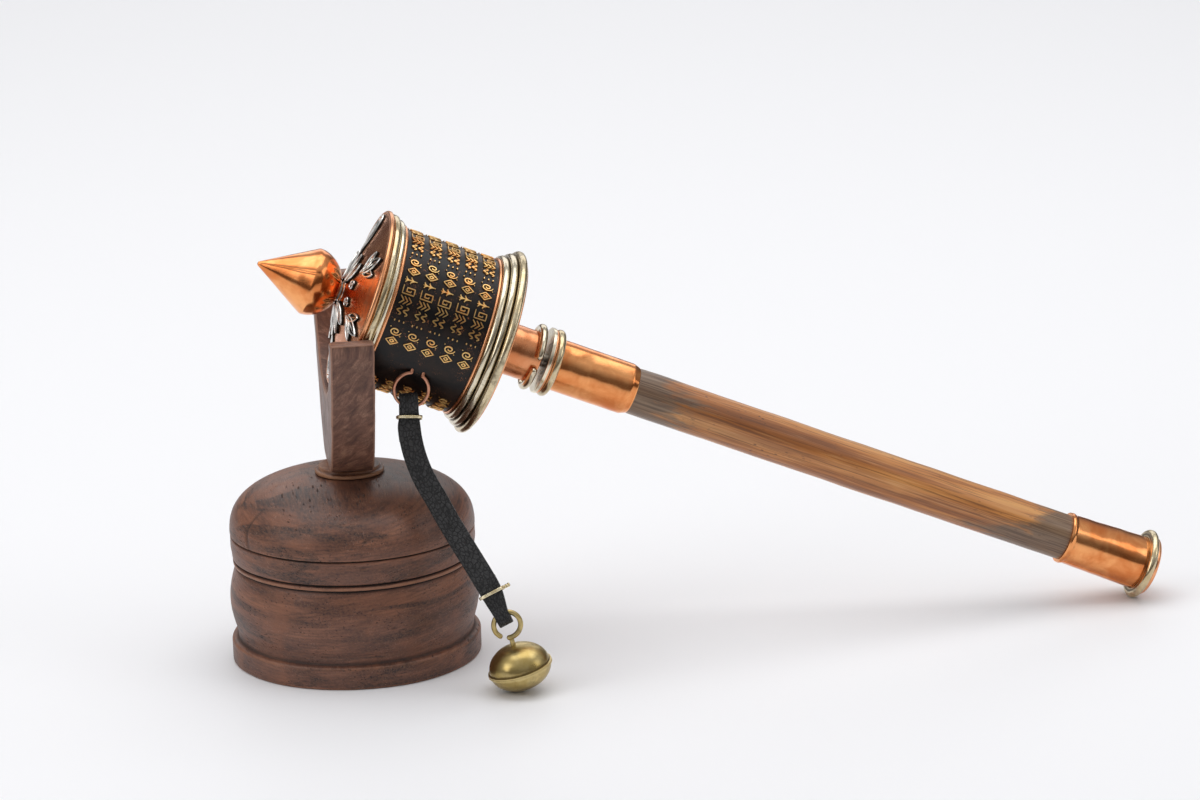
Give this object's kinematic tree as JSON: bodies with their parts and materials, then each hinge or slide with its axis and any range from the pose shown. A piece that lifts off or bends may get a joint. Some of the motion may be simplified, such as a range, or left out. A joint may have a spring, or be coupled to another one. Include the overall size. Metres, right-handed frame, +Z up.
{
  "type": "hand prayer wheel with stand",
  "caption": "Hand-held prayer wheel with embossed copper drum, lotus lid, wooden grip, strap and bell, resting in the fork of a turned wooden stand.",
  "frame": {"origin": "centre of the stand's underside", "axes": "+Z up out of the stand, +X along the wheel from its finial towards the end of its handle, -Y the side the strap and bell hang on"},
  "size_m": [0.2748, 0.0913, 0.1294],
  "materials": {
    "dark_wood": "turned, oiled, worn along its edges",
    "collar_wood": "turned, waxed",
    "pale_wood": "plain turned",
    "cradle_wood": "sawn and oiled, open pores",
    "grip_wood": "polished, streaked amber",
    "black_patina": "black patina over copper",
    "relief_copper": "rubbed bright on black patina",
    "copper": "hand-worn copper",
    "polished_copper": "polished copper",
    "copper_wire": "drawn copper wire",
    "old_brass": "rubbed brass with dark grooves",
    "bell_brass": "aged yellow brass",
    "binding_wire": "drawn brass wire",
    "white_metal": "white metal, rubbed",
    "blackened_silver": "white metal with blackened recesses",
    "dark_steel": "darkened steel",
    "strap_leather": "black grained leather",
    "scroll_paper": "rolled paper"
  },
  "bodies": {
    "stand": {"base": "dark_wood", "boss_disc": "collar_wood", "cradle_peg": "pale_wood", "cradle": "cradle_wood"},
    "drum": {"drum_shell": "black_patina", "rim_brass_ring": "old_brass", "rim_steel_ring": "white_metal", "rim_copper_line": "copper", "relief_band_1": "relief_copper", "relief_band_2": "relief_copper", "relief_band_3": "relief_copper", "relief_band_4": "relief_copper", "relief_band_5": "relief_copper", "foot_line": "copper", "foot_ring_inner": "white_metal", "foot_ring_middle": "white_metal", "foot_ring_outer": "old_brass", "bottom_plate": "copper", "neck_sleeve": "copper", "neck_ring": "white_metal", "core_tube": "pale_wood", "lower_bush": "pale_wood", "upper_bush": "pale_wood", "scroll": "scroll_paper"},
    "lid": {"lid": "copper", "lid_rim": "copper", "lid_teardrops": "blackened_silver", "lid_leaves": "blackened_silver", "lid_curls": "blackened_silver", "lotus_petals": "blackened_silver", "lotus_hub": "blackened_silver"},
    "finial": {"finial": "polished_copper", "finial_washer": "dark_steel"},
    "handle": {"spindle": "dark_steel", "ferrule_disc": "white_metal", "disc_edge": "copper", "collar_ring": "old_brass", "upper_ferrule": "polished_copper", "handle": "grip_wood", "end_ferrule": "polished_copper", "end_ring": "old_brass", "end_disc": "copper"},
    "hanger": {"hanger_ring": "copper_wire", "strap": "strap_leather", "upper_tie": "binding_wire", "lower_tie": "binding_wire"},
    "bell": {"bell_loop": "bell_brass", "bell_upper": "bell_brass", "bell_lower": "bell_brass"},
    "pellet": {"bell_pellet": "dark_steel"}
  },
  "joints": [
    {"name": "wheel_lift", "type": "slide", "parent": "stand", "child": "drum", "axis": [0, 0, 1], "range_m": [0, 0.06]},
    {"name": "spin", "type": "hinge", "parent": "drum", "child": "handle", "pos_m": [0, 0, 0.10724], "axis": [0.9225, 0, -0.3859], "continuous": true},
    {"name": "lid_lift", "type": "slide", "parent": "drum", "child": "lid", "axis": [-0.9225, 0, 0.3859], "range_m": [0, 0.02]},
    {"name": "finial_draw", "type": "slide", "parent": "handle", "child": "finial", "axis": [-0.9225, 0, 0.3859], "range_m": [0, 0.036]},
    {"name": "ring_swing", "type": "hinge", "parent": "drum", "child": "hanger", "pos_m": [0.01903, -0.01997, 0.08778], "axis": [-0.9225, 0, 0.3859], "range_deg": [0, 70]},
    {"name": "bell_swing", "type": "hinge", "parent": "hanger", "child": "bell", "pos_m": [0.03729, -0.046, 0.02304], "axis": [0.9063, 0, 0.4226], "range_deg": [-30, 30]},
    {"name": "pellet_rattle", "type": "slide", "parent": "bell", "child": "pellet", "axis": [-0.2419, 0, 0.9703], "range_m": [0, 0.004]}
  ],
  "couplings": [
    {"joint": "finial_draw", "follows": "lid_lift", "ratio": 1.8}
  ]
}
